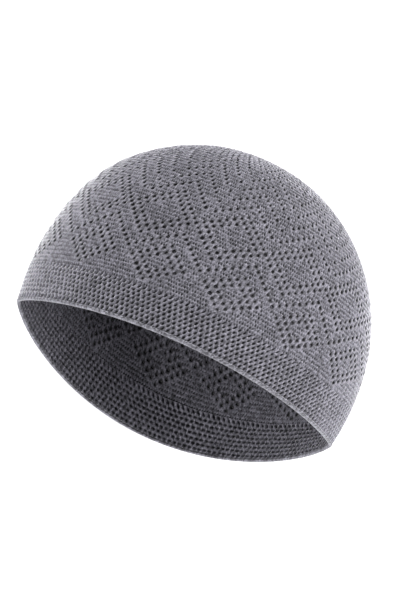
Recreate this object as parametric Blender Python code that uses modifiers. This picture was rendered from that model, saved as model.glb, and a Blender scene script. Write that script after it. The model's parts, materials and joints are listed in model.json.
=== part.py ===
# A tall knitted cap: an openwork crown over a headband in a denser stitch, with a
# cast-on edge round the opening. It lies on the back of its wall, with the opening
# to the front and the crown a little lower than the rim.
#
# The cap is worked out in its own frame: X runs from tip to tip of the opening,
# Y from the opening to the top of the crown, and Z from the wall that it lies on
# to the wall above. It is then leaned, flattened where it rests, and centred.

import math

import bmesh
import bpy
from mathutils import Matrix, Vector

# Sizes of the cap, in metres
CAP_WIDTH = 0.2015        # from tip to tip of the opening
UPPER_DEPTH = 0.078       # from the line through the tips to the wall above
LOWER_DEPTH = 0.0805      # from the same line to the wall that it lies on
CROWN_HEIGHT = 0.150      # from that line to the top of the crown
UPPER_DROOP = 0.0145      # how far the rim hangs past its tips, above
LOWER_DROOP = 0.0105      # and below
BAND_RISE = 0.026         # from the tips to the top of the headband
EDGE_RISE = 0.0022        # height of the cast-on edge

# Thickness of the knitting
CROWN_WALL = 0.0018
BAND_WALL = 0.0022
EDGE_WALL = 0.0030
EDGE_STANDS_OUT = 0.0004  # past the outside of the headband
EDGE_ROUNDING = 0.0009
JOIN_GAP = 0.0003         # between neighbouring pieces

# How it lies
LEAN_DEGREES = 17.0   # the top of the crown tips down by this
FLATTENED = 0.003     # depth of the soft wall that its own weight presses flat
FLAT_BLEND = 0.001    # height over which the flat spot turns into the wall

# Fineness of the mesh
STEPS_AROUND = 72
CROWN_ROWS = 20
BAND_ROWS = 4

# The opening is an oval with pointed tips: at 1 the tips would be as round as an
# ellipse's, and it is 1 from this climb up
TIP_SHARPNESS = 1.5
ROUND_FROM_DEGREES = 45.0

# The dome's sections, at equal steps of climb from the rim to the top. The width and
# the two depths are shares of an ellipsoid's. The shift towards +X is a share of the
# cap's width, and the rise towards the upper wall is a share of the lower depth.
SECTION_COLUMNS = ("width", "upper", "lower", "shift", "lift")
SECTION_SHARES = (
    (1.000, 1.000, 1.000, 0.000, 0.000),
    (1.065, 0.938, 0.885, -0.002, -0.035),
    (1.127, 0.899, 0.829, -0.005, -0.053),
    (1.175, 0.877, 0.807, -0.010, -0.056),
    (1.213, 0.865, 0.803, -0.009, -0.049),
    (1.257, 0.858, 0.805, -0.008, -0.030),
    (1.300, 0.850, 0.807, -0.010, -0.018),
)

YARN_GREY = (0.21, 0.205, 0.23, 1.0)
EDGE_GREY = (0.30, 0.295, 0.32, 1.0)


def section_value(column, climb):
    """A smooth value between the rows of the section table, for a climb in radians."""
    index = SECTION_COLUMNS.index(column)
    values = [row[index] for row in SECTION_SHARES]
    values = [2 * values[0] - values[1]] + values + [2 * values[-1] - values[-2]]
    place = min(climb / (math.pi / 2), 0.999999) * (len(SECTION_SHARES) - 1)
    row = int(place)
    share = place - row
    before, start, end, after = values[row:row + 4]
    bend = 2 * before - 5 * start + 4 * end - after
    twist = 3 * (start - end) + after - before
    return start + 0.5 * share * (end - before + share * (bend + share * twist))


def climb_at(rise):
    """The climb, in radians, of a point of the wall this far above the tips."""
    return math.asin(rise / CROWN_HEIGHT)


def cap_point(around, climb):
    """A point of the outside of the cap in its own frame, with angles in radians."""
    roundness = min(climb / math.radians(ROUND_FROM_DEGREES), 1.0)
    roundness *= roundness * (3 - 2 * roundness)
    sharpness = TIP_SHARPNESS + (1 - TIP_SHARPNESS) * roundness
    sideways = math.cos(around)
    outward = abs(math.sin(around))

    if math.sin(around) > 0:
        depth = UPPER_DEPTH * section_value("upper", climb)
        droop = UPPER_DROOP
    else:
        depth = -LOWER_DEPTH * section_value("lower", climb)
        droop = LOWER_DROOP

    narrowing = math.cos(climb)
    half_width = CAP_WIDTH / 2 * section_value("width", climb)
    x = half_width * narrowing * sideways + CAP_WIDTH * section_value("shift", climb)
    y = CROWN_HEIGHT * math.sin(climb) - droop * outward ** 1.5 * narrowing ** 4
    z = depth * narrowing * outward ** sharpness + LOWER_DEPTH * section_value("lift", climb)
    return Vector((x, y, z))


def leaned_point(around, climb):
    return Matrix.Rotation(-math.radians(LEAN_DEGREES), 3, "X") @ cap_point(around, climb)


def angles_around():
    return [2 * math.pi * step / STEPS_AROUND for step in range(STEPS_AROUND)]


def floor_height():
    """The level of the floor: the lowest of the wall, less what is pressed flat."""
    rows = [math.pi / 2 * row / CROWN_ROWS for row in range(CROWN_ROWS)]
    lowest = min(leaned_point(around, climb).z for around in angles_around() for climb in rows)
    return lowest + FLATTENED


def rested(point, floor):
    """The point as the cap lies: the floor at zero, and what is below it pressed flat."""
    height = point.z - floor
    if height < -FLAT_BLEND:
        height = 0.0
    elif height < FLAT_BLEND:
        height = (height + FLAT_BLEND) ** 2 / (4 * FLAT_BLEND)
    return Vector((point.x, point.y, height))


def wall_mesh(name, climbs, closed_top):
    """The outside of one stretch of the cap's wall, as an open mesh."""
    floor = floor_height()
    shape = bmesh.new()
    rings = []
    for climb in climbs:
        points = [rested(leaned_point(around, climb), floor) for around in angles_around()]
        rings.append([shape.verts.new(point) for point in points])
    for lower, upper in zip(rings, rings[1:]):
        for step in range(STEPS_AROUND):
            after = (step + 1) % STEPS_AROUND
            shape.faces.new((lower[step], upper[step], upper[after], lower[after]))
    if closed_top:
        top = shape.verts.new(rested(leaned_point(0.0, math.pi / 2), floor))
        for step in range(STEPS_AROUND):
            shape.faces.new((rings[-1][step], top, rings[-1][(step + 1) % STEPS_AROUND]))
    mesh = bpy.data.meshes.new(name)
    shape.to_mesh(mesh)
    shape.free()
    mesh.shade_smooth()
    return mesh


def even_climbs(start, end, rows):
    return [start + (end - start) * row / rows for row in range(rows + 1)]


def yarn_material(name, colour):
    material = bpy.data.materials.new(name)
    material.use_nodes = True
    shader = material.node_tree.nodes["Principled BSDF"]
    shader.inputs["Base Color"].default_value = colour
    shader.inputs["Roughness"].default_value = 0.95
    shader.inputs["Metallic"].default_value = 0.0
    return material


def add_wall(collection, mesh, thickness, stands_out, material):
    """An object of the mesh, thickened inwards from a skin that stands out this far."""
    piece = bpy.data.objects.new(mesh.name, mesh)
    collection.objects.link(piece)
    mesh.materials.append(material)
    solidify = piece.modifiers.new("Wall", "SOLIDIFY")
    solidify.thickness = thickness
    solidify.offset = 2 * stands_out / thickness - 1
    solidify.use_even_offset = True
    return piece


def round_edges(piece, width):
    bevel = piece.modifiers.new("Rounding", "BEVEL")
    bevel.width = width
    bevel.segments = 2
    bevel.limit_method = "ANGLE"
    bevel.angle_limit = math.radians(60)


def add_crown(collection):
    climbs = even_climbs(climb_at(BAND_RISE + JOIN_GAP), math.pi / 2, CROWN_ROWS)
    mesh = wall_mesh("crown", climbs[:-1], True)
    add_wall(collection, mesh, CROWN_WALL, 0.0, yarn_material("openwork knit", YARN_GREY))


def add_band(collection):
    climbs = even_climbs(climb_at(EDGE_RISE + JOIN_GAP), climb_at(BAND_RISE), BAND_ROWS)
    mesh = wall_mesh("band", climbs, False)
    add_wall(collection, mesh, BAND_WALL, 0.0, yarn_material("tuck stitch knit", YARN_GREY))


def add_edge(collection):
    mesh = wall_mesh("edge", [0.0, climb_at(EDGE_RISE)], False)
    yarn = yarn_material("cast-on yarn", EDGE_GREY)
    piece = add_wall(collection, mesh, EDGE_WALL, EDGE_STANDS_OUT, yarn)
    round_edges(piece, EDGE_ROUNDING)


def centre(collection):
    """Moves the cap so that its middle is over the origin, seen from above."""
    points = [vertex.co for piece in collection.objects for vertex in piece.data.vertices]
    middle_x = (max(point.x for point in points) + min(point.x for point in points)) / 2
    middle_y = (max(point.y for point in points) + min(point.y for point in points)) / 2
    for piece in collection.objects:
        piece.data.transform(Matrix.Translation((-middle_x, -middle_y, 0.0)))


def build_cap():
    for old in list(bpy.data.objects):
        bpy.data.objects.remove(old)
    collection = bpy.data.collections.new("knitted_prayer_cap")
    bpy.context.scene.collection.children.link(collection)
    add_crown(collection)
    add_band(collection)
    add_edge(collection)
    centre(collection)


build_cap()
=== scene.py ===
# A knitted prayer cap in grey yarn, dressed over its plain solids.
# The wall is laid out on a lattice of wales (columns of stitches) and rows, with a
# pit for each plain stitch, a hole for each eyelet of the chart, a denser headband
# and a cast-on edge of two twisted strands.

import math

import bpy
import numpy as np
from mathutils import Matrix, Vector
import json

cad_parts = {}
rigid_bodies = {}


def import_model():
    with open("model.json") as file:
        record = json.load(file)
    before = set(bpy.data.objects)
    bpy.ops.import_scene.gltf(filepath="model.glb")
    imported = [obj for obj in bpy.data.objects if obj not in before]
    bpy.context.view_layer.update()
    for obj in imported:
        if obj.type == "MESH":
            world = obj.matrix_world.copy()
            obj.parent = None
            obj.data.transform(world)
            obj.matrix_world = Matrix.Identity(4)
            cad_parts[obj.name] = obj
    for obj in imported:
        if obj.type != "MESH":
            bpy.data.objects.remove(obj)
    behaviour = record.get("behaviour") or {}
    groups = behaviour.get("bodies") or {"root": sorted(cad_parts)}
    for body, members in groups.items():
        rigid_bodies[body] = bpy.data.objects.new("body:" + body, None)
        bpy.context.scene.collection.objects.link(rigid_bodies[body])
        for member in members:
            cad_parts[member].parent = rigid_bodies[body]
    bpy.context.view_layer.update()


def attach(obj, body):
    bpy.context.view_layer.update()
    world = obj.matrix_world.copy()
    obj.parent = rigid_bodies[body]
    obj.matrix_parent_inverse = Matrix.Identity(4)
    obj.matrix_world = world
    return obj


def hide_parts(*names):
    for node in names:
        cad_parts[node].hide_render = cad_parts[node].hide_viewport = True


for old in list(bpy.data.objects):
    bpy.data.objects.remove(old, do_unlink=True)
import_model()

# the shape of the cap, the same numbers as its solids (metres, degrees)
cap = {
    "width": 0.2015,          # tip to tip of the opening
    "upperDepth": 0.078,      # from the line of the tips to the wall above
    "lowerDepth": 0.0805,     # and to the wall that it lies on
    "crownHeight": 0.150,
    "upperDroop": 0.0145,
    "lowerDroop": 0.0105,
    "bandRise": 0.026,
    "edgeRise": 0.0022,
    "joinGap": 0.0003,
    "tipSharpness": 1.5,
    "roundFromDegrees": 45.0,
    "leanDegrees": 17.0,
    "flattened": 0.003,
    "flatBlend": 0.001,
    "stepsAround": 72,        # fineness of the solids, for the floor and the middle
    "crownRows": 20,
    "bandRows": 4,
}
sections = {                  # at equal steps of climb, from the rim to the top
    "width": (1.000, 1.065, 1.127, 1.175, 1.213, 1.257, 1.300),
    "upper": (1.000, 0.938, 0.899, 0.877, 0.865, 0.858, 0.850),
    "lower": (1.000, 0.885, 0.829, 0.807, 0.803, 0.805, 0.807),
    "shift": (0.000, -0.002, -0.005, -0.010, -0.009, -0.008, -0.010),
    "lift": (0.000, -0.035, -0.053, -0.056, -0.049, -0.030, -0.018),
}

# how the knitting runs over that shape
knit = {
    "wales": 336,             # 12 repeats of 28
    "rowHeight": 0.00297,     # two courses
    "leanOfWales": 0.26,      # they drift towards +X by this much for each metre of rise
    "chartFrom": 0.1433,      # from the -X tip along the rim to a bottom vertex of the chart
    "chartRise": 0.0318,      # rise of that vertex
    "chartWale": 14,          # and its wale
    "firstRow": -26,          # row of the chart that stands on the headband
}


def sectionValue(column, climb):
    values = np.array(sections[column])
    values = np.concatenate(([2 * values[0] - values[1]], values, [2 * values[-1] - values[-2]]))
    place = np.minimum(climb / (math.pi / 2), 0.999999) * (len(values) - 3)
    row = np.maximum(place, 0).astype(int)
    share = place - row
    before, start, end, after = (values[row + step] for step in range(4))
    bend = 2 * before - 5 * start + 4 * end - after
    twist = 3 * (start - end) + after - before
    return start + 0.5 * share * (end - before + share * (bend + share * twist))


def climbAt(riseAboveTips):
    return math.asin(riseAboveTips / cap["crownHeight"])


# outside of the cap in its own frame
def capPoint(around, climb):
    around, climb = np.broadcast_arrays(around, climb)
    roundness = np.minimum(climb / math.radians(cap["roundFromDegrees"]), 1.0)
    roundness = roundness * roundness * (3 - 2 * roundness)
    sharpness = cap["tipSharpness"] + (1 - cap["tipSharpness"]) * roundness
    outward = np.abs(np.sin(around))
    above = np.sin(around) > 0
    depth = np.where(
        above,
        cap["upperDepth"] * sectionValue("upper", climb),
        -cap["lowerDepth"] * sectionValue("lower", climb),
    )
    droop = np.where(above, cap["upperDroop"], cap["lowerDroop"])
    narrowing = np.cos(climb)
    halfWidth = cap["width"] / 2 * sectionValue("width", climb)
    x = halfWidth * narrowing * np.cos(around) + cap["width"] * sectionValue("shift", climb)
    y = cap["crownHeight"] * np.sin(climb) - droop * outward**1.5 * narrowing**4
    z = depth * narrowing * outward**sharpness + cap["lowerDepth"] * sectionValue("lift", climb)
    return np.stack((x, y, z), axis=-1)


def leanedPoint(around, climb):
    point = capPoint(around, climb)
    lean = math.radians(cap["leanDegrees"])
    y = point[..., 1] * math.cos(lean) + point[..., 2] * math.sin(lean)
    z = point[..., 2] * math.cos(lean) - point[..., 1] * math.sin(lean)
    return np.stack((point[..., 0], y, z), axis=-1)


def restedPoint(around, climb, floor):
    point = leanedPoint(around, climb)
    height = point[..., 2] - floor
    blend = cap["flatBlend"]
    pressed = (height + blend) ** 2 / (4 * blend)
    point[..., 2] = np.where(height < -blend, 0.0, np.where(height < blend, pressed, height))
    return point


# level of the floor, and the middle of the solids seen from above
def findRest():
    around = np.arange(cap["stepsAround"]) * 2 * math.pi / cap["stepsAround"]
    climbs = np.arange(cap["crownRows"]) * math.pi / 2 / cap["crownRows"]
    floor = leanedPoint(around[None, :], climbs[:, None])[..., 2].min() + cap["flattened"]
    crown = np.linspace(climbAt(cap["bandRise"] + cap["joinGap"]), math.pi / 2, cap["crownRows"] + 1)
    band = np.linspace(
        climbAt(cap["edgeRise"] + cap["joinGap"]), climbAt(cap["bandRise"]), cap["bandRows"] + 1
    )
    climbs = np.concatenate((crown, band, (0.0, climbAt(cap["edgeRise"]))))
    points = restedPoint(around[None, :], climbs[:, None], floor).reshape(-1, 3)
    middle = (points.max(axis=0) + points.min(axis=0)) / 2
    return floor, np.array((middle[0], middle[1], 0.0))


floorLevel, middleShift = findRest()


def skinPoint(around, climb):
    return restedPoint(around, climb, floorLevel) - middleShift


# points of the skin, with the directions out of it and up it
def skinFrame(around, climb):
    step = 0.004
    along = skinPoint(around + step, climb) - skinPoint(around - step, climb)
    up = skinPoint(around, climb + step) - skinPoint(around, climb - step)
    out = np.cross(up, along)
    out /= np.linalg.norm(out, axis=-1, keepdims=True)
    up /= np.linalg.norm(up, axis=-1, keepdims=True)
    return skinPoint(around, climb), out, up


# rise: the way up the middle of the upper wall, from the rim to the top
climbTable = np.linspace(0, math.pi / 2, 2001)
middleLine = capPoint(math.pi / 2, climbTable)
riseTable = np.concatenate(([0], np.cumsum(np.linalg.norm(np.diff(middleLine, axis=0), axis=1))))
topRise = riseTable[-1]


def riseAtClimb(climb):
    return float(np.interp(climb, climbTable, riseTable))


def climbAtRise(rise):
    return np.interp(rise, riseTable, climbTable)


# wales: spaced evenly round the rim, and a little more evenly round the rings above it
ringCount, ringSteps, finePerWale = 121, 2880, 4
ringAngles = math.pi / 2 - 2 * math.pi * np.arange(ringSteps + 1) / ringSteps


def ringSpacing(climb):
    lengths = np.linalg.norm(np.diff(capPoint(ringAngles, np.full(ringSteps + 1, climb)), axis=0), axis=1)
    return lengths, lengths / lengths.sum()


rimLengths, rimShares = ringSpacing(0.0)
rimLength = rimLengths.sum()
walePitch = rimLength / knit["wales"]
middleFromTip = rimLengths[ringSteps * 3 // 4:].sum()


def makeWaleTable():
    table = np.empty((ringCount, knit["wales"] * finePerWale + 1))
    for ring in range(ringCount):
        climb = min(float(climbAtRise(topRise * ring / (ringCount - 1))), math.pi / 2 - 0.01)
        blend = min(climb / math.radians(35), 1.0)
        blend *= blend * (3 - 2 * blend)
        ringShares = ringSpacing(climb)[1]
        mixed = 0.55 * rimShares + 0.30 * ringShares + 0.15 / ringSteps
        shares = (1 - blend) * rimShares + blend * mixed
        wales = np.concatenate(([0], np.cumsum(shares))) * knit["wales"] / shares.sum()
        table[ring] = np.interp(np.arange(table.shape[1]) / finePerWale, wales, ringAngles)
    return table


waleTable = makeWaleTable()


# angle of a wale at a rise, with the drift of the wales
def aroundAt(wale, rise):
    drift = knit["leanOfWales"] * (rise - knit["chartRise"])
    middleWale = knit["chartWale"] + (middleFromTip - knit["chartFrom"] - drift) / walePitch
    place = np.mod(wale - middleWale, knit["wales"]) * finePerWale
    column = np.minimum(place.astype(int), knit["wales"] * finePerWale - 1)
    across = place - column
    height = np.clip(rise / topRise, 0, 0.999999) * (ringCount - 1)
    ring = height.astype(int)
    upward = height - ring
    low = waleTable[ring, column] * (1 - across) + waleTable[ring, column + 1] * across
    high = waleTable[ring + 1, column] * (1 - across) + waleTable[ring + 1, column + 1] * across
    return low * (1 - upward) + high * upward


# points at a depth under the skin
def layPoints(wale, rise, depth):
    wale, rise, depth = np.broadcast_arrays(wale, rise, depth)
    # the hand of the knitting: rows that waver a little
    turn = 2 * math.pi * wale / knit["wales"]
    waver = 0.00016 * (np.sin(9 * turn + 260 * rise) + 0.7 * np.sin(23 * turn - 410 * rise + 1.3))
    fade = np.clip((rise - 0.004) / 0.01, 0, 1) * np.clip((topRise - rise) / 0.03, 0, 1)
    rise = rise + waver * fade
    point, out, _ = skinFrame(aroundAt(wale, rise), climbAtRise(rise))
    laid = point - out * depth[..., None]
    laid[..., 2] = np.maximum(laid[..., 2], 0.0)   # beads sink where they lie on the floor
    return laid


# the eyelet chart, where m counts pairs of wales across and r counts rows up.
# One repeat is 14 across: a double diamond, a V, a higher double diamond, then chevrons
def eyeletAt(m, r):
    if (m + r) % 2:
        return False
    across = (m + 7) % 14 - 7
    side = abs(across)
    shifted = abs((m % 14) - 7)
    for peak in range(8, 60, 4):
        if r == peak - side and side in (0, 1, 2, 3, 4, 5, 7):
            return True
    if r == 4 - side and side <= 6 or side + abs(r + 7) in (5, 7):
        return True
    return side == r + 18 and r <= -11 or shifted + abs(r + 20) in (3, 5)


print("lay of the knitting worked out: rim", round(rimLength * 1000, 1), "mm, top at",
      round(topRise * 1000, 1), "mm")


# ---------------------------------------------------------------- meshes
# fabric gathers points and faces. A face also has the number of its row, and the
# smooth direction of each point is worked out before the fabric is cut into pieces.
# each point also carries a painted shade, which darkens the yarn's colour
def newFabric():
    return {"points": [], "paintedShades": [], "wales": [], "rises": [], "count": 0, "faces": [], "rows": []}


# a ring lattice of points, returned as its indices
def addPoints(fabric, wale, rise, depth, pitAndPaintedShade):
    wale, rise, depth, pitAndPaintedShade = np.broadcast_arrays(wale, rise, depth, pitAndPaintedShade)
    fabric["points"].append(layPoints(wale, rise, depth).reshape(-1, 3))
    fabric["paintedShades"].append(pitAndPaintedShade.ravel())
    fabric["wales"].append(wale.ravel())
    fabric["rises"].append(rise.ravel())
    first = fabric["count"]
    fabric["count"] += wale.size
    return np.arange(first, fabric["count"]).reshape(wale.shape)


def addFaces(fabric, faces, rows, inward=False):
    faces = faces.reshape(-1, faces.shape[-1])
    if inward:
        faces = faces[:, ::-1]
    if len(faces):
        fabric["faces"].append(faces)
        fabric["rows"].append(np.broadcast_to(rows, faces.shape[:1]).astype(int))


# the faces between the rings of a lattice, less those that an eyelet takes out
def latticeFaces(lattice, keep):
    after = np.roll(lattice, -1, axis=1)
    quads = np.stack((lattice[:-1], after[:-1], after[1:], lattice[1:]), axis=-1)
    return quads[keep]


# the triangles between two closed rings of any numbers of points, that start side by side
def bridgeFaces(outer, inner):
    outerCount, innerCount = outer.shape[-1], inner.shape[-1]
    triangles, i, j = [], 0, 0
    while i < outerCount or j < innerCount:
        if j == innerCount or (i < outerCount and (i + 1) * innerCount <= (j + 1) * outerCount):
            triangles.append((outer[..., i], outer[..., (i + 1) % outerCount], inner[..., j % innerCount]))
            i += 1
        else:
            triangles.append((outer[..., i % outerCount], inner[..., (j + 1) % innerCount], inner[..., j]))
            j += 1
    return np.moveaxis(np.array(triangles), (0, 1), (-2, -1)).reshape(-1, 3)


# the ring of points of a lattice round one cell, counterclockwise seen from outside,
# with the turn of each round the middle of the cell
def ringOfCell(across, up, inset):
    low, right, top = inset, across - inset, up - inset
    bottom = [(low, place) for place in range(low, right)]
    rightSide = [(place, right) for place in range(low, top)]
    upper = [(top, place) for place in range(right, low, -1)]
    leftSide = [(place, low) for place in range(top, low, -1)]
    turns = []
    for number, side in enumerate((bottom, rightSide, upper, leftSide)):
        turns += [(number + place / len(side)) * math.pi / 2 - 0.75 * math.pi for place in range(len(side))]
    return np.array(bottom + rightSide + upper + leftSide), np.array(turns)


# how far plain stitches sink at a place in their cell, from 0 to 1, which also sets their painted shade: a pit
# in the lower course of each row, in a groove that runs up between ribs, one wale to the left for each row
def plainPit(across, up):
    groove = np.sin(math.pi * (across + up - 0.25)) ** 2
    pitAndPaintedShade = 0.5 + 0.5 * np.sin(2 * math.pi * up)
    return groove * (crown["grooveShare"] + (1 - crown["grooveShare"]) * pitAndPaintedShade**1.5)


# 1 at the tips of the opening and above them, where the wall turns away, and 0 between
def sideness(wale, rise):
    return np.abs(np.cos(aroundAt(wale, rise))) ** 6


# the bead of yarn that an eyelet pushes up beside it
def besideBead(across, up):
    return (0.5 - 0.5 * np.cos(2 * math.pi * across)) * (0.5 - 0.5 * np.cos(2 * math.pi * up))


crown = {
    "wall": 0.00178,
    "pitDepth": 0.00105,       # of a plain stitch, outside
    "grooveShare": 0.22,       # depth of the groove that the pits lie in, as a share of that
    "barDepth": 0.00010,       # of the bars between the rows
    "insidePitDepth": 0.00070,
    "pitPaintedShade": 0.95,           # strength of the painted shade of a plain stitch, where an eyelet is 1
    "besideEyelet": 0.15,      # share of that depth right beside an eyelet
    "underEyelet": 0.65,       # and right over or under one
    "beadHeight": 0.00024,     # of the yarn between two eyelets
    "lipDepth": 0.00036,       # of the edge of an eyelet
    "eyeletWidth": 1.22,       # share of a wale
    "eyeletHeight": 0.73,      # share of a row
    "eyeletSlant": -0.40,      # wales per row, which stands it upright on wales that drift
    "upperShrink": 0.14,       # eyelets get smaller towards the top by this share
    "sideShrink": 0.22,        # and towards the tips of the opening
    "sideCalm": 0.62,          # where the relief and its painted shade are lower by this share too
    "waistAbove": 0.72,        # narrowing half way through the upper wall
    "waistBelow": 0.04,        # and through the wall that the cap lies on, where it nearly shuts the hole as a dark plug that keeps the lit floor from showing
    "unevenness": 0.23,        # from eyelet to eyelet
    "pitUnevenness": 0.38,     # from stitch to stitch
    "stray": (0.035, 0.030),   # of any point, in wales and rows
    "stitchStray": 0.09,       # of a whole stitch, in rows
    "jointGap": 0.00003,       # to the headband
    "fineColumns": (0.0, 0.27, 0.5, 0.73),
    "fineRows": (0.0, 0.25, 0.5, 0.75),
    "insideColumns": (0.0, 0.5),
    "topInsideColumns": (0.0, 0.35, 0.65),   # where the wales have merged
    "mergeRise": 0.0006,
    # wales together in one cell, rows, and whether the eyelets take the whole cell
    "sections": ((1, 42, True), (2, 6, False), (4, 3, False), (8, 2, False)),
    "cutRows": (0, 11, 22, 32, 42),   # the crown is cut here into pieces of even size
}
jitter = np.random.default_rng(11)


# one section of the crown: rows of cells, outside and inside, with its eyelets
def addSection(fabric, together, rowCount, wholeCell, startRise, firstRow):
    fine = (crown["fineColumns"], crown["fineRows"])
    inside = (crown["insideColumns"] if wholeCell else crown["topInsideColumns"], crown["fineRows"])
    cells = knit["wales"] // together
    height = knit["rowHeight"]
    chartStep = together // 2 if together > 1 else 1
    pattern = np.zeros((rowCount, cells), bool)
    for row in range(rowCount):
        for cell in range(cells):
            m = cell / 2 if together == 1 else cell * chartStep
            pattern[row, cell] = m == int(m) and eyeletAt(int(m), knit["firstRow"] + firstRow + row)

    # stitches are shallower, and their painted shade lighter, where an eyelet draws their yarn aside
    shallow = np.ones((rowCount, cells))
    for shift in (-1, 1):
        above = np.zeros_like(pattern)
        if shift > 0:
            above[1:] = pattern[:-1]
        else:
            above[:-1] = pattern[1:]
        shallow[above] = crown["underEyelet"]
    beads = np.zeros((rowCount, cells))
    for shift in (-1, 1):
        shallow[np.roll(pattern, shift, axis=1)] = crown["besideEyelet"]
        beads[np.roll(pattern, shift, axis=1)] = 1
    shallow *= 1 + crown["pitUnevenness"] * jitter.uniform(-1, 1, shallow.shape)
    beads *= 1 + crown["pitUnevenness"] * jitter.uniform(-1, 1, beads.shape)

    layers = []
    for columns, rows in (fine, inside):
        across = (np.arange(cells)[:, None] + np.array(columns)[None, :]).ravel()
        up = np.append((np.arange(rowCount)[:, None] + np.array(rows)[None, :]).ravel(), rowCount)
        pitAndPaintedShade = plainPit(np.mod(across, 1)[None, :], np.mod(up, 1)[:, None])
        pitAndPaintedShade[:-1] *= np.kron(shallow, np.ones((len(rows), len(columns))))
        bead = besideBead(np.mod(across, 1)[None, :], np.mod(up, 1)[:, None])
        bead[:-1] *= np.kron(beads, np.ones((len(rows), len(columns))))
        bar = np.broadcast_to(np.mod(up, 1)[:, None] == 0, pitAndPaintedShade.shape) * (np.mod(across, 1)[None, :] != 0)
        stray = jitter.uniform(-1, 1, (2, *pitAndPaintedShade.shape))
        stray[1, :-1] += np.kron(jitter.uniform(-1, 1, shallow.shape), np.ones((len(rows), len(columns)))) * (
            crown["stitchStray"] / crown["stray"][1]) * (bar[:-1] == 0)
        stray[:, 0] = 0
        wale = (across[None, :] - 0.5 + crown["stray"][0] * stray[0]) * together
        rise = startRise + (up[:, None] + crown["stray"][1] * stray[1]) * height
        calm = 1 - crown["sideCalm"] * sideness(wale, rise)
        layers.append([wale, rise, calm * pitAndPaintedShade, calm * (crown["barDepth"] * bar - crown["beadHeight"] * bead)])

    # eyelets: the points round a cell move onto an oval
    uneven = 1 + crown["unevenness"] * jitter.uniform(-1, 1, (4, rowCount, cells))
    inset = 0 if wholeCell else 1
    width = crown["eyeletWidth"] if wholeCell else 0.70
    tall = crown["eyeletHeight"]
    atRow, atCell = np.nonzero(pattern)
    size, narrow, slant, sideways = (part[atRow, atCell][:, None] for part in uneven)
    middleRise = startRise + (atRow + 0.5) * height
    side = sideness(atCell * together, middleRise)[:, None]
    size = size * (1 - crown["upperShrink"] * ((atRow[:, None] + firstRow) / crown["cutRows"][-1]))
    size = size * (1 - crown["sideShrink"] * side)
    lip = crown["lipDepth"] * (1 - crown["sideCalm"] * side)

    def ovalPoints(turns, share):
        y = share * tall / 2 * size * np.sin(turns)
        x = share * width / 2 * size * narrow * np.cos(turns) + crown["eyeletSlant"] * slant * y
        x = x + 0.4 * (sideways - 1)
        return (atCell[:, None] + x) * together, startRise + (atRow[:, None] + 0.5 + y) * height

    holeRings = []
    for (wale, rise, pitAndPaintedShade, bump), (columns, rows) in zip(layers, (fine, inside)):
        ring, turns = ringOfCell(len(columns), len(rows), inset)
        j = atRow[:, None] * len(rows) + ring[None, :, 0]
        i = (atCell[:, None] * len(columns) + ring[None, :, 1]) % wale.shape[1]
        wale[j, i], rise[j, i] = ovalPoints(turns, 1.0)
        holeRings.append((j, i))

    wall, deep = crown["wall"], crown["pitDepth"]
    wale, rise, pitAndPaintedShade, bump = layers[0]
    depth = deep * pitAndPaintedShade + bump
    depth[holeRings[0][0], holeRings[0][1]] = lip
    # painted shade: the pit's depth share darkens the colour, and the lips of the eyelets get a set painted
    # shade
    pitAndPaintedShade = crown["pitPaintedShade"] * pitAndPaintedShade
    pitAndPaintedShade[holeRings[0][0], holeRings[0][1]] = 0.60
    front = addPoints(fabric, wale, rise, depth, pitAndPaintedShade)
    wale, rise, pitAndPaintedShade, bump = layers[1]
    depth = wall - crown["insidePitDepth"] * pitAndPaintedShade - bump
    depth[holeRings[1][0], holeRings[1][1]] = wall - 0.5 * lip
    pitAndPaintedShade = crown["pitPaintedShade"] * pitAndPaintedShade
    pitAndPaintedShade[holeRings[1][0], holeRings[1][1]] = 0.55
    back = addPoints(fabric, wale, rise, depth, pitAndPaintedShade)
    above = 0.5 + 0.5 * np.clip(3 * np.sin(aroundAt(atCell * together, middleRise)) + 0.5, -1, 1)
    share = crown["waistBelow"] + (crown["waistAbove"] - crown["waistBelow"]) * above[:, None]
    waistWale, waistRise = ovalPoints(np.arange(8) / 4 * math.pi - 0.75 * math.pi, share)
    # painted shade: the waist is painted nearly as dark as a shadow, and on the lower wall it is a dark plug
    # that almost shuts the hole
    waist = addPoints(fabric, waistWale, waistRise, 0.55 * wall, 0.95)

    for lattice, inward, (columns, rows) in ((front, False, fine), (back, True, inside)):
        hollow = np.zeros((len(rows), len(columns)), bool)
        hollow[inset:len(rows) - inset, inset:len(columns) - inset] = True
        keep = ~np.kron(pattern, hollow).astype(bool)
        rowNumbers = np.repeat(np.arange(rowCount), len(rows))[:, None] + firstRow
        rowNumbers = np.broadcast_to(rowNumbers, keep.shape)[keep]
        addFaces(fabric, latticeFaces(lattice, keep), rowNumbers, inward)
    for ring, inner in ((front[holeRings[0]], waist), (waist, back[holeRings[1]])):
        walls = bridgeFaces(ring, inner)
        addFaces(fabric, walls, np.repeat(atRow, len(walls) // max(len(atRow), 1)) + firstRow)
    return front, back, startRise + rowCount * height


# smooth directions of all points, from the faces round them
def smoothDirections(points, faceGroups):
    directions = np.zeros_like(points)
    for faces in faceGroups:
        across = points[faces[:, 2]] - points[faces[:, 0]]
        other = points[faces[:, 3]] - points[faces[:, 1]] if faces.shape[1] == 4 else (
            points[faces[:, 2]] - points[faces[:, 1]])
        normal = np.cross(across, other)
        for corner in range(faces.shape[1]):
            np.add.at(directions, faces[:, corner], normal)
    return directions / np.maximum(np.linalg.norm(directions, axis=1, keepdims=True), 1e-12)


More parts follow.
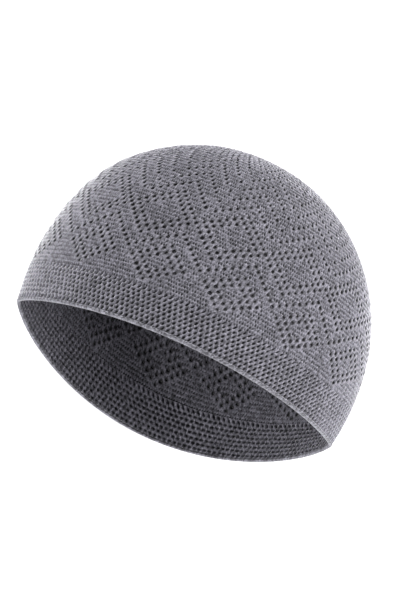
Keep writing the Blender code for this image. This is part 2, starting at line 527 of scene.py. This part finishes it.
# an object of the faces given. Cut faces have their own flat direction
def makePiece(name, fabric, faceGroups, cutGroups, directions, material):
    points = fabric["allPoints"]
    groups = [faces for faces in [*faceGroups, *cutGroups] if len(faces)]
    used = np.zeros(len(points), bool)
    for faces in groups:
        used[faces.ravel()] = True
    place = np.cumsum(used) - 1
    corners = np.concatenate([place[faces].ravel() for faces in groups])
    source = np.concatenate([faces.ravel() for faces in groups])
    sizes = np.concatenate([np.full(len(faces), faces.shape[1]) for faces in groups])
    starts = np.concatenate(([0], np.cumsum(sizes)[:-1]))

    mesh = bpy.data.meshes.new(name)
    mesh.vertices.add(int(used.sum()))
    mesh.vertices.foreach_set("co", points[used].astype(np.float32).ravel())
    mesh.loops.add(len(corners))
    mesh.loops.foreach_set("vertex_index", corners.astype(np.int32))
    mesh.polygons.add(len(sizes))
    mesh.polygons.foreach_set("loop_start", starts.astype(np.int32))
    mesh.update(calc_edges=True)
    mesh.shade_smooth()

    # painted shade of each point, read by the yarn's material
    pitAndPaintedShade = mesh.attributes.new("pitAndPaintedShade", "FLOAT", "POINT")
    pitAndPaintedShade.data.foreach_set("value", fabric["allPits"][used].astype(np.float32))
    # stitches across and up, kept whole over the seam where the wales start again
    wales = fabric["allWales"][source]
    faceOf = np.repeat(np.arange(len(sizes)), sizes)
    most = np.maximum.reduceat(wales, starts)[faceOf]
    wales = np.where(most - wales > knit["wales"] / 2, wales + knit["wales"], wales)
    courses = fabric["allRises"][source] / (knit["rowHeight"] / 2)
    stitches = mesh.uv_layers.new(name="stitches")
    stitches.data.foreach_set("uv", np.stack((wales, courses), axis=1).astype(np.float32).ravel())

    normals = directions[source].copy()
    firstCut = sum(len(faces) * faces.shape[1] for faces in faceGroups if len(faces))
    if firstCut < len(source):
        for face in np.unique(faceOf[firstCut:]):
            a, b, c = points[source[starts[face]:starts[face] + 3]]
            flat = np.cross(b - a, c - a)
            normals[starts[face]:starts[face] + sizes[face]] = flat / max(np.linalg.norm(flat), 1e-12)
    mesh.normals_split_custom_set(normals.astype(np.float32))

    piece = bpy.data.objects.new(name, mesh)
    bpy.context.scene.collection.objects.link(piece)
    mesh.materials.append(material)
    print(name, "has", int((sizes - 2).sum()), "triangles")
    return piece


def settle(fabric):
    fabric["allPoints"] = np.concatenate(fabric["points"])
    fabric["allPits"] = np.concatenate(fabric["paintedShades"])
    fabric["allWales"] = np.concatenate(fabric["wales"])
    fabric["allRises"] = np.concatenate(fabric["rises"])


# the gathered top: rings of half as many points each, down to one in the middle, each ring with its own painted
# shade
def closeTop(fabric, ring, rise, depths, paintedShades, inward, row):
    steps = len(depths)
    for step in range(1, steps):
        start = rise + (topRise - rise) * step / steps
        count = len(ring) // 2
        wale = np.arange(count) * knit["wales"] / count - 0.5 * crown["sections"][-1][0]
        nextRing = addPoints(fabric, wale, start, depths[step - 1], paintedShades[step - 1])
        addFaces(fabric, bridgeFaces(ring, nextRing), row, inward)
        ring = nextRing
    near = layPoints(np.arange(4) * knit["wales"] / 4, topRise - 0.0002, depths[-1]).mean(axis=0)
    fabric["points"].append(near[None, :])
    for key, value in (("paintedShades", paintedShades[-1]), ("wales", 0.0), ("rises", topRise)):
        fabric[key].append(np.array([value]))
    middle = np.full(len(ring), fabric["count"])
    fabric["count"] += 1
    addFaces(fabric, np.stack((ring, np.roll(ring, -1), middle), axis=-1), row, inward)


def makeCrown(material):
    fabric = newFabric()
    rise = riseAtClimb(climbAt(cap["bandRise"])) + crown["jointGap"]
    firstRow, rings = 0, {}
    for number, (together, rowCount, wholeCell) in enumerate(crown["sections"]):
        if number:
            rise += crown["mergeRise"]
        below = rings.get("top")
        front, back, top = addSection(fabric, together, rowCount, wholeCell, rise, firstRow)
        if below is None:
            for row in crown["cutRows"]:
                rings[row] = tuple(layer[row * (len(layer) // rowCount)] for layer in (front, back))
        else:
            for ring, layer, inward in ((below[0], front, False), (below[1], back, True)):
                shift = (together - below[2]) / 2 * len(ring) / knit["wales"]
                addFaces(fabric, bridgeFaces(np.roll(ring, round(shift)), layer[0]), firstRow, inward)
        rings["top"] = (front[-1], back[-1], together)
        firstRow += rowCount
        rise = top
    wall = crown["wall"]
    # painted shade deepens towards the dimple in the middle of the gathered top
    closeTop(fabric, front[-1], rise, (0.0001, 0.0003, 0.0004, 0.0006), (0.05, 0.25, 0.15, 0.5), False, firstRow)
    closeTop(fabric, back[-1], rise, (wall, wall, wall + 0.0001, wall + 0.0002), (0, 0.2, 0.2, 0.4), True,
             firstRow)

    settle(fabric)
    directions = smoothDirections(fabric["allPoints"], fabric["faces"])
    cuts = [*crown["cutRows"], firstRow + 1]
    pieces = []
    for name, low, high in zip(("lowest", "lower", "middle", "upper", "top"), cuts, cuts[1:]):
        faces = [part[(rows >= low) & (rows < high)] for part, rows in zip(fabric["faces"], fabric["rows"])]
        cutFaces = []
        if low in rings:
            cutFaces.append(bridgeFaces(*rings[low])[:, ::-1])
        if high in rings:
            cutFaces.append(bridgeFaces(*rings[high]))
        pieces.append(makePiece("crown_" + name, fabric, faces, cutFaces, directions, material))
    return pieces


band = {
    "rows": 8,
    "wall": 0.00215,
    "stepsPerRow": 4,
    "pitDepth": 0.00140,
    "insidePitDepth": 0.00130,  # these stand between those outside
    "pitWidth": 0.55,         # half of it, in wales
    "pitHeight": 0.36,        # half of it, in rows
    "pitSlant": -0.15,        # wales per row
    "pitClimb": 0.20,         # and rises to the right, in rows per wale
    "lastWidth": 0.38,        # the row under the crown has longer and steeper pits
    "lastHeight": 0.40,
    "lastSlant": 0.75,
    "insideWidth": 0.78,      # the pits inside are wider and lower
    "insideHeight": 0.28,
    "grooveDepth": 0.00042,   # between the ribs, which run one wale to the left for each row
    # painted shade in the grooves between the ribs, as a share of that in a pit
    "groovePaintedShade": 0.24,
    "insidePaintedShadeShare": 0.70,       # how strong the painted shade in the pits inside is
    "pitUnevenness": 0.22,
    "stray": (0.05, 0.04),
    "sideCalm": 0.80,         # the relief and its painted shade are lower at the tips by this share
    "endRounding": 0.00030,
    "edgeGap": 0.00003,       # to the cast-on edge
}


# how deep the headband sinks at a wale and a row, from 0 to 1, and how low it is
# between its ribs. The pits are two wales apart, and stand between those of the next row
def bandRelief(wale, row, climb, width, height):
    number = np.floor(np.minimum(row, band["rows"] - 0.001))
    sunk = np.zeros_like(wale)
    for beside in (-1, 0, 1):
        near = np.clip(number + beside, 0, band["rows"] - 1)
        last = near == band["rows"] - 1
        slant = np.where(last, band["lastSlant"], band["pitSlant"])
        up = row - near - 0.5
        across = np.mod(wale - slant * up - np.mod(near, 2) + 1, 2) - 1
        up = up - np.where(last, 0.0, climb) * across
        oval = (across / np.where(last, band["lastWidth"], width)) ** 2
        oval += (up / np.where(last, band["lastHeight"], height)) ** 2
        sunk = np.maximum(sunk, np.exp(-(oval**1.5)))
    return sunk, 0.5 + 0.5 * np.cos(math.pi * (wale + row - 0.5))


def makeBand(material):
    fabric = newFabric()
    start = riseAtClimb(climbAt(cap["edgeRise"] / 2)) + edge["halfHeight"] + band["edgeGap"]
    end = riseAtClimb(climbAt(cap["bandRise"]))
    columns = (np.arange(knit["wales"])[:, None] + np.array(crown["fineColumns"])[None, :]).ravel() - 0.5
    rings = band["rows"] * band["stepsPerRow"] + 1
    row = np.arange(rings) / band["stepsPerRow"]
    wale, row = np.meshgrid(columns, row)
    sunk, low = bandRelief(wale, row, band["pitClimb"], band["pitWidth"], band["pitHeight"])
    # the same unevenness over a pit and its surroundings
    patches = jitter.uniform(-1, 1, (band["rows"] + 1, knit["wales"]))
    patch = patches[np.round(row).astype(int), np.round(wale).astype(int) % knit["wales"]]
    sunk = np.clip(sunk * (1 + band["pitUnevenness"] * patch), 0, 1.2)
    sunkInside, lowInside = bandRelief(wale + 1, row, 0.0, band["insideWidth"], band["insideHeight"])
    sunkInside = np.clip(sunkInside * (1 + band["pitUnevenness"] * patch), 0, 1.2)
    stray = jitter.uniform(-1, 1, (2, *wale.shape))
    stray[:, -1] = 0
    wale = wale + band["stray"][0] * stray[0]
    rise = start + (end - start) / band["rows"] * (row + band["stray"][1] * stray[1])
    calm = 1 - band["sideCalm"] * sideness(wale, rise)
    sunk, low = calm * sunk, calm * low
    ends = np.zeros_like(wale)
    ends[0] = band["endRounding"]
    outsideDepth = band["pitDepth"] * sunk + band["grooveDepth"] * low * (1 - sunk) + ends
    insideDepth = band["wall"] - band["insidePitDepth"] * sunkInside - 0.5 * ends
    insideDepth -= band["grooveDepth"] * lowInside * (1 - sunkInside)
    outsideDepth[-1] = 0.00005
    # painted shade of the headband: in its pits and, more faintly, in the grooves between its ribs
    front = addPoints(fabric, wale, rise, outsideDepth, np.maximum(sunk, band["groovePaintedShade"] * low))
    insidePaintedShade = band["insidePaintedShadeShare"] * np.maximum(sunkInside, band["groovePaintedShade"] * lowInside)
    back = addPoints(fabric, wale, rise, insideDepth, insidePaintedShade)
    keep = np.ones((rings - 1, wale.shape[1]), bool)
    addFaces(fabric, latticeFaces(front, keep), 0)
    addFaces(fabric, latticeFaces(back, keep), 0, True)
    addFaces(fabric, bridgeFaces(front[0], back[0]), 0, True)
    settle(fabric)
    directions = smoothDirections(fabric["allPoints"], fabric["faces"])
    top = bridgeFaces(front[-1], back[-1])
    return makePiece("headband", fabric, fabric["faces"], [top], directions, material)


edge = {
    "halfThickness": 0.00125,
    "halfHeight": 0.00106,
    "middleDepth": 0.00098,   # of its middle, under the outside of the headband
    "grooveDepth": 0.00017,   # between its two strands, outside and inside
    "markDepth": 0.00030,     # of the marks where they are linked, two wales apart
    "beading": 0.00010,
    "wave": 0.22,             # of the groove, in radians
    "stepsPerWale": 4,
    "sides": 16,
}


def makeEdge(material):
    start = riseAtClimb(climbAt(cap["edgeRise"] / 2))
    count = knit["wales"] * edge["stepsPerWale"]
    wale = np.arange(count) / edge["stepsPerWale"]
    middle, out, up = skinFrame(aroundAt(wale, np.full(count, start)), climbAtRise(np.full(count, start)))
    out = smoothAlong(out)
    side = 2 * math.pi * np.arange(edge["sides"]) / edge["sides"]
    turn = math.pi * wale[:, None]
    groove = np.zeros((count, edge["sides"]))
    for face in (0.0, math.pi):
        away = np.mod(side[None, :] - face - edge["wave"] * np.sin(turn) + math.pi, 2 * math.pi) - math.pi
        groove += np.exp(-((away / 0.33) ** 2))
    link = (0.5 + 0.5 * np.cos(turn)) ** 2
    sunk = edge["grooveDepth"] * groove + edge["markDepth"] * groove * link
    sunk += edge["beading"] * (1 - groove) * (0.5 - 0.5 * np.cos(turn + 0.8)) * np.cos(side) ** 2
    outward = (edge["halfThickness"] - sunk) * np.cos(side)[None, :] - edge["middleDepth"]
    upward = (edge["halfHeight"] - sunk) * np.sin(side)[None, :]
    points = middle[:, None] + out[:, None] * outward[..., None] + up[:, None] * upward[..., None]
    fabric = newFabric()
    fabric["points"].append(points.reshape(-1, 3))
    # painted shade in the groove between the two strands, strongest at the marks where they link
    fabric["paintedShades"].append((groove * (0.25 + 0.75 * link)).ravel())
    fabric["wales"].append(np.repeat(wale, edge["sides"]))
    fabric["rises"].append(np.tile(side / (2 * math.pi) * 0.004, count))
    lattice = np.arange(count * edge["sides"]).reshape(count, edge["sides"])
    nextRing, around = np.roll(lattice, -1, axis=0), np.roll(lattice, -1, axis=1)
    corner = np.roll(nextRing, -1, axis=1)
    fabric["faces"].append(np.stack((lattice, around, corner, nextRing), axis=-1).reshape(-1, 4))
    settle(fabric)
    directions = smoothDirections(fabric["allPoints"], fabric["faces"])
    return makePiece("cast_on_edge", fabric, fabric["faces"], [], directions, material)


# directions round the rim, evened out where the tips turn sharply
def smoothAlong(directions):
    for _ in range(6):
        directions = directions + np.roll(directions, 1, axis=0) + np.roll(directions, -1, axis=0)
        directions /= np.linalg.norm(directions, axis=1, keepdims=True)
    return directions


# ---------------------------------------------------------------- yarn
yarn = {
    "light": (0.083, 0.080, 0.094, 1.0),
    "dark": (0.0215, 0.0206, 0.027, 1.0),
    "stitchContrast": 0.60,    # from stitch to stitch
    "pitShade": 0.10,          # painted shade: share of the colour that is left at the bottom of a pit
    "roughness": 0.92,
    "sheen": 0.72,
    "sheenRoughness": 0.30,
    "stitchBump": 0.08,
    "fibreBump": 0.45,
}
edgeYarn = dict(yarn, light=(0.098, 0.096, 0.109, 1.0), dark=(0.044, 0.043, 0.050, 1.0), sheen=0.30)


def yarnMaterial(name, look, shareOfStitch):
    material = bpy.data.materials.new(name)
    material.use_nodes = True
    nodes, links = material.node_tree.nodes, material.node_tree.links
    shader = nodes["Principled BSDF"]
    shader.inputs["Roughness"].default_value = look["roughness"]
    shader.inputs["Sheen Roughness"].default_value = look["sheenRoughness"]
    shader.inputs["Specular IOR Level"].default_value = 0.25

    def add(kind, **settings):
        node = nodes.new(kind)
        for key, value in settings.items():
            if isinstance(key, str) and hasattr(node, key):
                setattr(node, key, value)
        return node

    def maths(operation, first, second=None):
        node = add("ShaderNodeMath", operation=operation)
        for socket, value in zip(node.inputs, (first, second)):
            if value is None:
                continue
            if isinstance(value, (int, float)):
                socket.default_value = value
            else:
                links.new(value, socket)
        return node.outputs[0]

    place = add("ShaderNodeTexCoord").outputs["Object"]

    # marled colour: soft clouds over the cap and flecks along the fibres
    clouds = add("ShaderNodeTexNoise")
    clouds.inputs["Scale"].default_value = 38.0
    clouds.inputs["Detail"].default_value = 3.0
    flecks = add("ShaderNodeTexNoise")
    flecks.inputs["Scale"].default_value = 1500.0
    flecks.inputs["Detail"].default_value = 2.0
    for noise in (clouds, flecks):
        links.new(place, noise.inputs["Vector"])
    blend = maths("ADD", maths("MULTIPLY", clouds.outputs[0], 0.25), maths("MULTIPLY", flecks.outputs[0], 0.95))
    ramp = add("ShaderNodeValToRGB")
    ramp.color_ramp.elements[0].position = 0.40
    ramp.color_ramp.elements[0].color = look["dark"]
    ramp.color_ramp.elements[1].position = 0.80
    ramp.color_ramp.elements[1].color = look["light"]
    links.new(blend, ramp.inputs[0])

    # each stitch takes the light in its own way
    stitches = add("ShaderNodeUVMap", uv_map="stitches")
    parts = add("ShaderNodeSeparateXYZ")
    links.new(stitches.outputs[0], parts.inputs[0])
    leg = maths("FLOOR", maths("MULTIPLY", parts.outputs[0], 2.0))
    course = maths("FLOOR", parts.outputs[1])
    own = add("ShaderNodeTexWhiteNoise", noise_dimensions="2D")
    pair = add("ShaderNodeCombineXYZ")
    links.new(leg, pair.inputs[0])
    links.new(course, pair.inputs[1])
    links.new(pair.outputs[0], own.inputs["Vector"])
    tone = add("ShaderNodeMapRange")
    tone.inputs["To Min"].default_value = 1 - look["stitchContrast"]
    tone.inputs["To Max"].default_value = 1 + look["stitchContrast"]
    links.new(own.outputs["Value"], tone.inputs[0])
    toned = add("ShaderNodeMix", data_type="RGBA", blend_type="MULTIPLY")
    toned.inputs[0].default_value = 1.0
    links.new(ramp.outputs[0], toned.inputs[6])
    links.new(tone.outputs[0], toned.inputs[7])

    # painted shade: the colour is mixed towards a shadow colour where the point attribute read here is high, in
    # the pits, grooves and eyelets, and the sheen is taken out in the same places
    pitAndPaintedShade = add("ShaderNodeAttribute", attribute_name="pitAndPaintedShade").outputs["Fac"]
    shade = add("ShaderNodeMix", data_type="RGBA")
    shadow = tuple(channel * look["pitShade"] for channel in look["dark"][:3]) + (1.0,)
    shade.inputs[7].default_value = shadow
    links.new(toned.outputs[2], shade.inputs[6])
    depth = add("ShaderNodeMapRange", interpolation_type="SMOOTHSTEP")
    depth.inputs["From Min"].default_value = 0.05
    depth.inputs["From Max"].default_value = 0.75
    links.new(pitAndPaintedShade, depth.inputs[0])
    links.new(depth.outputs[0], shade.inputs[0])
    fuzz = maths("MULTIPLY", maths("SUBTRACT", 1.0, depth.outputs[0]), look["sheen"])
    links.new(fuzz, shader.inputs["Sheen Weight"])
    links.new(shade.outputs[2], shader.inputs["Base Color"])

    # bump: the two legs of each stitch, then loose fibres
    fromMiddle = maths("ABSOLUTE", maths("SUBTRACT", maths("FRACT", parts.outputs[0]), 0.5))
    legs = maths("SINE", maths("MULTIPLY", maths("SUBTRACT", parts.outputs[1], maths(
        "MULTIPLY", fromMiddle, shareOfStitch)), math.pi))
    legs = maths("ABSOLUTE", legs)
    stitchBump = add("ShaderNodeBump")
    stitchBump.inputs["Strength"].default_value = look["stitchBump"]
    stitchBump.inputs["Distance"].default_value = 0.00025
    links.new(legs, stitchBump.inputs["Height"])
    fibres = add("ShaderNodeTexNoise")
    fibres.inputs["Scale"].default_value = 3200.0
    fibres.inputs["Detail"].default_value = 2.0
    links.new(place, fibres.inputs["Vector"])
    fibreBump = add("ShaderNodeBump")
    fibreBump.inputs["Strength"].default_value = look["fibreBump"]
    fibreBump.inputs["Distance"].default_value = 0.00012
    links.new(fibres.outputs[0], fibreBump.inputs["Height"])
    links.new(stitchBump.outputs[0], fibreBump.inputs["Normal"])
    links.new(fibreBump.outputs[0], shader.inputs["Normal"])
    return material


crownPieces = makeCrown(yarnMaterial("grey yarn in openwork", yarn, 1.6))
print("crown knitted")
bandPiece = makeBand(yarnMaterial("grey yarn in the headband", yarn, 1.2))
print("headband knitted")
edgePiece = makeEdge(yarnMaterial("paler cast-on yarn", edgeYarn, 0.8))
print("edge cast on")

for pieces, node, slot in (
    (crownPieces, "crown", "openwork_knit"),
    ([bandPiece], "band", "tuck_stitch_knit"),
    ([edgePiece], "edge", "cast_on_yarn"),
):
    for piece in pieces:
        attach(piece, "root")
        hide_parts(node)


# ---------------------------------------------------------------- studio
studio = {
    "floorRadius": 6.0,
    "floorColour": (0.72, 0.72, 0.72, 1.0),
    "worldColour": (0.97, 0.975, 1.0, 1.0),
    "horizon": 6.2,           # the studio's walls are brighter than its ceiling
    "zenith": 0.20,
    "fadeEnd": 0.66,          # height of a direction from which the ceiling's light is even
}


def makeFloor():
    mesh = bpy.data.meshes.new("floor")
    steps = 96
    around = np.arange(steps) * 2 * math.pi / steps
    points = [(studio["floorRadius"] * math.cos(a), studio["floorRadius"] * math.sin(a), 0.0) for a in around]
    mesh.from_pydata(points, [], [list(range(steps))])
    floor = bpy.data.objects.new("floor", mesh)
    bpy.context.scene.collection.objects.link(floor)
    material = bpy.data.materials.new("pale floor")
    material.use_nodes = True
    shader = material.node_tree.nodes["Principled BSDF"]
    shader.inputs["Base Color"].default_value = studio["floorColour"]
    shader.inputs["Roughness"].default_value = 0.9
    mesh.materials.append(material)


def makeWorld():
    world = bpy.data.worlds.new("studio")
    bpy.context.scene.world = world
    world.use_nodes = True
    nodes, links = world.node_tree.nodes, world.node_tree.links
    sky = nodes["Background"]
    sky.inputs["Color"].default_value = studio["worldColour"]
    parts = nodes.new("ShaderNodeSeparateXYZ")
    links.new(nodes.new("ShaderNodeTexCoord").outputs["Generated"], parts.inputs[0])
    height = nodes.new("ShaderNodeMapRange")
    height.interpolation_type = "SMOOTHSTEP"
    height.inputs["From Min"].default_value = 0.0
    height.inputs["From Max"].default_value = studio["fadeEnd"]
    height.inputs["To Min"].default_value = studio["horizon"]
    height.inputs["To Max"].default_value = studio["zenith"]
    links.new(parts.outputs[2], height.inputs[0])
    links.new(height.outputs[0], sky.inputs["Strength"])


# soft boxes: side round the cap in degrees from +X, height in degrees, distance, size, watts
softBoxes = {
    "left": (200, 14, 2.4, 1.6, 20.0),
    "front": (237, 19, 2.6, 1.2, 124.0),
    "right": (2, 11, 2.4, 1.6, 180.0),
    "top": (98, 14, 2.4, 1.2, 152.0),
}


def makeSoftBoxes():
    aim = Vector((0.0, 0.0, 0.06))
    for name, (side, height, distance, size, watts) in softBoxes.items():
        lamp = bpy.data.lights.new(name, "AREA")
        lamp.shape = "DISK"
        lamp.size = size
        lamp.energy = watts
        lampObject = bpy.data.objects.new(name, lamp)
        bpy.context.scene.collection.objects.link(lampObject)
        a, e = math.radians(side), math.radians(height)
        towards = Vector((math.cos(a) * math.cos(e), math.sin(a) * math.cos(e), math.sin(e)))
        lampObject.location = aim + towards * distance
        lampObject.rotation_euler = towards.to_track_quat("Z", "Y").to_euler()


# the photograph's angle: 25 degrees under the plane of the rim, turned by 25 degrees
view = {
    "underRimDegrees": 24.985,
    "rollDegrees": 24.937,
    "distance": 2.0361,
    "lookHeight": 0.060,      # on the cap's axis above the line of the tips
    "frameHeight": 0.3534,    # at that distance
    "offRight": 13.1,         # pixels from the middle of a 400 x 600 frame
    "offUp": 10.6,
}


def makeCamera():
    lean = math.radians(cap["leanDegrees"])
    tilt = math.radians(view["underRimDegrees"]) - lean
    roll = math.radians(view["rollDegrees"])
    towards = Vector((0.0, -math.sin(tilt), math.cos(tilt)))
    level = Vector((1.0, 0.0, 0.0))
    upright = towards.cross(level)
    right = level * math.cos(roll) + upright * math.sin(roll)
    up = upright * math.cos(roll) - level * math.sin(roll)
    height = view["lookHeight"]
    target = Vector((0.0, height * math.cos(lean), -height * math.sin(lean) - floorLevel))
    target -= Vector(middleShift)
    pixel = view["frameHeight"] / 600
    target -= right * view["offRight"] * pixel + up * view["offUp"] * pixel
    camera = bpy.data.cameras.new("camera")
    camera.sensor_width = 36.0
    camera.lens = 36.0 * view["distance"] / view["frameHeight"]
    camera.clip_start, camera.clip_end = 0.1, 20.0
    cameraObject = bpy.data.objects.new("camera", camera)
    bpy.context.scene.collection.objects.link(cameraObject)
    turned = Matrix((right, up, towards)).transposed().to_4x4()
    turned.translation = target + towards * view["distance"]
    cameraObject.matrix_world = turned
    bpy.context.scene.camera = cameraObject


makeFloor()
makeWorld()
makeSoftBoxes()
makeCamera()
bpy.context.scene.view_settings.view_transform = "Standard"
print("studio ready")
